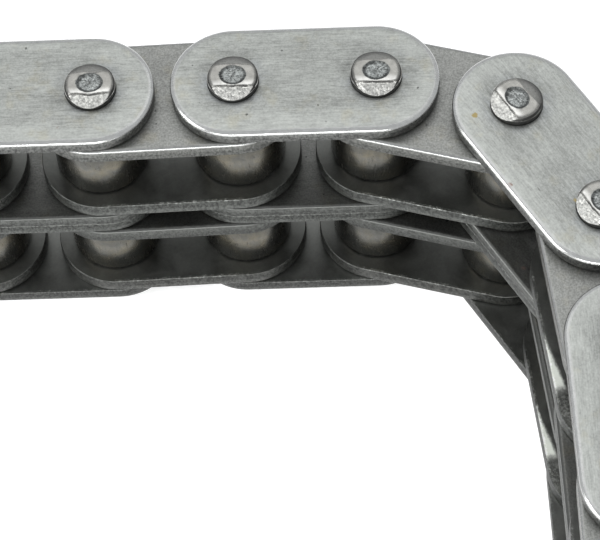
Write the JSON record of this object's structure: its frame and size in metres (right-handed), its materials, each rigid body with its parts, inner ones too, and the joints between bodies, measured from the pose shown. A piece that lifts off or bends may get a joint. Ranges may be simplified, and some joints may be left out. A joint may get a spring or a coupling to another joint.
{
  "type": "duplex roller chain length",
  "caption": "Open length of duplex roller chain with straight-sided plates, staked pins and turning rollers, articulating at every pin to drive or be driven by a twin sprocket.",
  "frame": {"origin": "on the axis of the first inner link's free bush bore, midway between the two strands", "axes": "+X along the straight part of the chain, +Z along the pins, which stand upright because the chain lies on its side"},
  "size_m": [0.083, 0.0636, 0.0302],
  "materials": {
    "outer_plate_steel": "brushed along the plate",
    "inner_plate_steel": "matte, fine-grained",
    "pin_steel": "bright staked ends",
    "bush_steel": "oiled",
    "roller_steel": "smooth, oiled"
  },
  "bodies": {
    "inner_link_1_upper_roller_1_body": {"inner_link_1_upper_roller_1": "roller_steel"},
    "inner_link_1_upper_roller_2_body": {"inner_link_1_upper_roller_2": "roller_steel"},
    "inner_link_1_lower_roller_1_body": {"inner_link_1_lower_roller_1": "roller_steel"},
    "inner_link_1_lower_roller_2_body": {"inner_link_1_lower_roller_2": "roller_steel"},
    "inner_link_1": {"inner_link_1_upper_plates": "inner_plate_steel", "inner_link_1_lower_plates": "inner_plate_steel", "inner_link_1_upper_bushes": "bush_steel", "inner_link_1_lower_bushes": "bush_steel"},
    "outer_link_1": {"outer_link_1_top_plate": "outer_plate_steel", "outer_link_1_middle_plates": "outer_plate_steel", "outer_link_1_bottom_plate": "outer_plate_steel", "outer_link_1_pin_1": "pin_steel", "outer_link_1_pin_2": "pin_steel"},
    "inner_link_2_upper_roller_1_body": {"inner_link_2_upper_roller_1": "roller_steel"},
    "inner_link_2_upper_roller_2_body": {"inner_link_2_upper_roller_2": "roller_steel"},
    "inner_link_2_lower_roller_1_body": {"inner_link_2_lower_roller_1": "roller_steel"},
    "inner_link_2_lower_roller_2_body": {"inner_link_2_lower_roller_2": "roller_steel"},
    "inner_link_2": {"inner_link_2_upper_plates": "inner_plate_steel", "inner_link_2_lower_plates": "inner_plate_steel", "inner_link_2_upper_bushes": "bush_steel", "inner_link_2_lower_bushes": "bush_steel"},
    "outer_link_2": {"outer_link_2_top_plate": "outer_plate_steel", "outer_link_2_middle_plates": "outer_plate_steel", "outer_link_2_bottom_plate": "outer_plate_steel", "outer_link_2_pin_1": "pin_steel", "outer_link_2_pin_2": "pin_steel"},
    "inner_link_3_upper_roller_1_body": {"inner_link_3_upper_roller_1": "roller_steel"},
    "inner_link_3_upper_roller_2_body": {"inner_link_3_upper_roller_2": "roller_steel"},
    "inner_link_3_lower_roller_1_body": {"inner_link_3_lower_roller_1": "roller_steel"},
    "inner_link_3_lower_roller_2_body": {"inner_link_3_lower_roller_2": "roller_steel"},
    "inner_link_3": {"inner_link_3_upper_plates": "inner_plate_steel", "inner_link_3_lower_plates": "inner_plate_steel", "inner_link_3_upper_bushes": "bush_steel", "inner_link_3_lower_bushes": "bush_steel"},
    "outer_link_3": {"outer_link_3_top_plate": "outer_plate_steel", "outer_link_3_middle_plates": "outer_plate_steel", "outer_link_3_bottom_plate": "outer_plate_steel", "outer_link_3_pin_1": "pin_steel", "outer_link_3_pin_2": "pin_steel"},
    "inner_link_4_upper_roller_1_body": {"inner_link_4_upper_roller_1": "roller_steel"},
    "inner_link_4_upper_roller_2_body": {"inner_link_4_upper_roller_2": "roller_steel"},
    "inner_link_4_lower_roller_1_body": {"inner_link_4_lower_roller_1": "roller_steel"},
    "inner_link_4_lower_roller_2_body": {"inner_link_4_lower_roller_2": "roller_steel"},
    "inner_link_4": {"inner_link_4_upper_plates": "inner_plate_steel", "inner_link_4_lower_plates": "inner_plate_steel", "inner_link_4_upper_bushes": "bush_steel", "inner_link_4_lower_bushes": "bush_steel"},
    "outer_link_4": {"outer_link_4_top_plate": "outer_plate_steel", "outer_link_4_middle_plates": "outer_plate_steel", "outer_link_4_bottom_plate": "outer_plate_steel", "outer_link_4_pin_1": "pin_steel", "outer_link_4_pin_2": "pin_steel"},
    "inner_link_5_upper_roller_1_body": {"inner_link_5_upper_roller_1": "roller_steel"},
    "inner_link_5_upper_roller_2_body": {"inner_link_5_upper_roller_2": "roller_steel"},
    "inner_link_5_lower_roller_1_body": {"inner_link_5_lower_roller_1": "roller_steel"},
    "inner_link_5_lower_roller_2_body": {"inner_link_5_lower_roller_2": "roller_steel"},
    "inner_link_5": {"inner_link_5_upper_plates": "inner_plate_steel", "inner_link_5_lower_plates": "inner_plate_steel", "inner_link_5_upper_bushes": "bush_steel", "inner_link_5_lower_bushes": "bush_steel"}
  },
  "joints": [
    {"name": "articulation_1", "type": "hinge", "parent": "inner_link_1", "child": "outer_link_1", "pos_m": [0.0127, 0.00033, 0], "axis": [0, 0, 1], "range_deg": [-88.5, 91.5]},
    {"name": "articulation_2", "type": "hinge", "parent": "outer_link_1", "child": "inner_link_2", "pos_m": [0.0254, 0.00033, 0], "axis": [0, 0, -1], "range_deg": [-88.5, 91.5]},
    {"name": "articulation_3", "type": "hinge", "parent": "inner_link_2", "child": "outer_link_2", "pos_m": [0.03809, 0.00066, 0], "axis": [0, 0, 1], "range_deg": [-88.5, 91.5]},
    {"name": "articulation_4", "type": "hinge", "parent": "outer_link_2", "child": "inner_link_3", "pos_m": [0.05079, 0.00066, 0], "axis": [0, 0, -1], "range_deg": [-105.5, 74.5]},
    {"name": "articulation_5", "type": "hinge", "parent": "inner_link_3", "child": "outer_link_3", "pos_m": [0.06303, -0.00273, 0], "axis": [0, 0, 1], "range_deg": [-47.5, 132.5]},
    {"name": "articulation_6", "type": "hinge", "parent": "outer_link_3", "child": "inner_link_4", "pos_m": [0.06976, -0.0135, 0], "axis": [0, 0, -1], "range_deg": [-115.5, 64.5]},
    {"name": "articulation_7", "type": "hinge", "parent": "inner_link_4", "child": "outer_link_4", "pos_m": [0.0712, -0.02612, 0], "axis": [0, 0, 1], "range_deg": [-85, 95]},
    {"name": "articulation_8", "type": "hinge", "parent": "outer_link_4", "child": "inner_link_5", "pos_m": [0.07153, -0.03881, 0], "axis": [0, 0, -1], "range_deg": [-91, 89]},
    {"name": "roller_spin_1_upper_1", "type": "hinge", "parent": "inner_link_1", "child": "inner_link_1_upper_roller_1_body", "pos_m": [0, 0, 0.00696], "axis": [0, 0, 1], "continuous": true},
    {"name": "roller_spin_1_upper_2", "type": "hinge", "parent": "inner_link_1", "child": "inner_link_1_upper_roller_2_body", "pos_m": [0.0127, 0.00033, 0.00696], "axis": [0, 0, 1], "continuous": true},
    {"name": "roller_spin_1_lower_1", "type": "hinge", "parent": "inner_link_1", "child": "inner_link_1_lower_roller_1_body", "pos_m": [0, 0, -0.00696], "axis": [0, 0, 1], "continuous": true},
    {"name": "roller_spin_1_lower_2", "type": "hinge", "parent": "inner_link_1", "child": "inner_link_1_lower_roller_2_body", "pos_m": [0.0127, 0.00033, -0.00696], "axis": [0, 0, 1], "continuous": true},
    {"name": "roller_spin_2_upper_1", "type": "hinge", "parent": "inner_link_2", "child": "inner_link_2_upper_roller_1_body", "pos_m": [0.0254, 0.00033, 0.00696], "axis": [0, 0, 1], "continuous": true},
    {"name": "roller_spin_2_upper_2", "type": "hinge", "parent": "inner_link_2", "child": "inner_link_2_upper_roller_2_body", "pos_m": [0.03809, 0.00066, 0.00696], "axis": [0, 0, 1], "continuous": true},
    {"name": "roller_spin_2_lower_1", "type": "hinge", "parent": "inner_link_2", "child": "inner_link_2_lower_roller_1_body", "pos_m": [0.0254, 0.00033, -0.00696], "axis": [0, 0, 1], "continuous": true},
    {"name": "roller_spin_2_lower_2", "type": "hinge", "parent": "inner_link_2", "child": "inner_link_2_lower_roller_2_body", "pos_m": [0.03809, 0.00066, -0.00696], "axis": [0, 0, 1], "continuous": true},
    {"name": "roller_spin_3_upper_1", "type": "hinge", "parent": "inner_link_3", "child": "inner_link_3_upper_roller_1_body", "pos_m": [0.05079, 0.00066, 0.00696], "axis": [0, 0, 1], "continuous": true},
    {"name": "roller_spin_3_upper_2", "type": "hinge", "parent": "inner_link_3", "child": "inner_link_3_upper_roller_2_body", "pos_m": [0.06303, -0.00273, 0.00696], "axis": [0, 0, 1], "continuous": true},
    {"name": "roller_spin_3_lower_1", "type": "hinge", "parent": "inner_link_3", "child": "inner_link_3_lower_roller_1_body", "pos_m": [0.05079, 0.00066, -0.00696], "axis": [0, 0, 1], "continuous": true},
    {"name": "roller_spin_3_lower_2", "type": "hinge", "parent": "inner_link_3", "child": "inner_link_3_lower_roller_2_body", "pos_m": [0.06303, -0.00273, -0.00696], "axis": [0, 0, 1], "continuous": true},
    {"name": "roller_spin_4_upper_1", "type": "hinge", "parent": "inner_link_4", "child": "inner_link_4_upper_roller_1_body", "pos_m": [0.06976, -0.0135, 0.00696], "axis": [0, 0, 1], "continuous": true},
    {"name": "roller_spin_4_upper_2", "type": "hinge", "parent": "inner_link_4", "child": "inner_link_4_upper_roller_2_body", "pos_m": [0.0712, -0.02612, 0.00696], "axis": [0, 0, 1], "continuous": true},
    {"name": "roller_spin_4_lower_1", "type": "hinge", "parent": "inner_link_4", "child": "inner_link_4_lower_roller_1_body", "pos_m": [0.06976, -0.0135, -0.00696], "axis": [0, 0, 1], "continuous": true},
    {"name": "roller_spin_4_lower_2", "type": "hinge", "parent": "inner_link_4", "child": "inner_link_4_lower_roller_2_body", "pos_m": [0.0712, -0.02612, -0.00696], "axis": [0, 0, 1], "continuous": true},
    {"name": "roller_spin_5_upper_1", "type": "hinge", "parent": "inner_link_5", "child": "inner_link_5_upper_roller_1_body", "pos_m": [0.07153, -0.03881, 0.00696], "axis": [0, 0, 1], "continuous": true},
    {"name": "roller_spin_5_upper_2", "type": "hinge", "parent": "inner_link_5", "child": "inner_link_5_upper_roller_2_body", "pos_m": [0.07164, -0.05151, 0.00696], "axis": [0, 0, 1], "continuous": true},
    {"name": "roller_spin_5_lower_1", "type": "hinge", "parent": "inner_link_5", "child": "inner_link_5_lower_roller_1_body", "pos_m": [0.07153, -0.03881, -0.00696], "axis": [0, 0, 1], "continuous": true},
    {"name": "roller_spin_5_lower_2", "type": "hinge", "parent": "inner_link_5", "child": "inner_link_5_lower_roller_2_body", "pos_m": [0.07164, -0.05151, -0.00696], "axis": [0, 0, 1], "continuous": true}
  ]
}
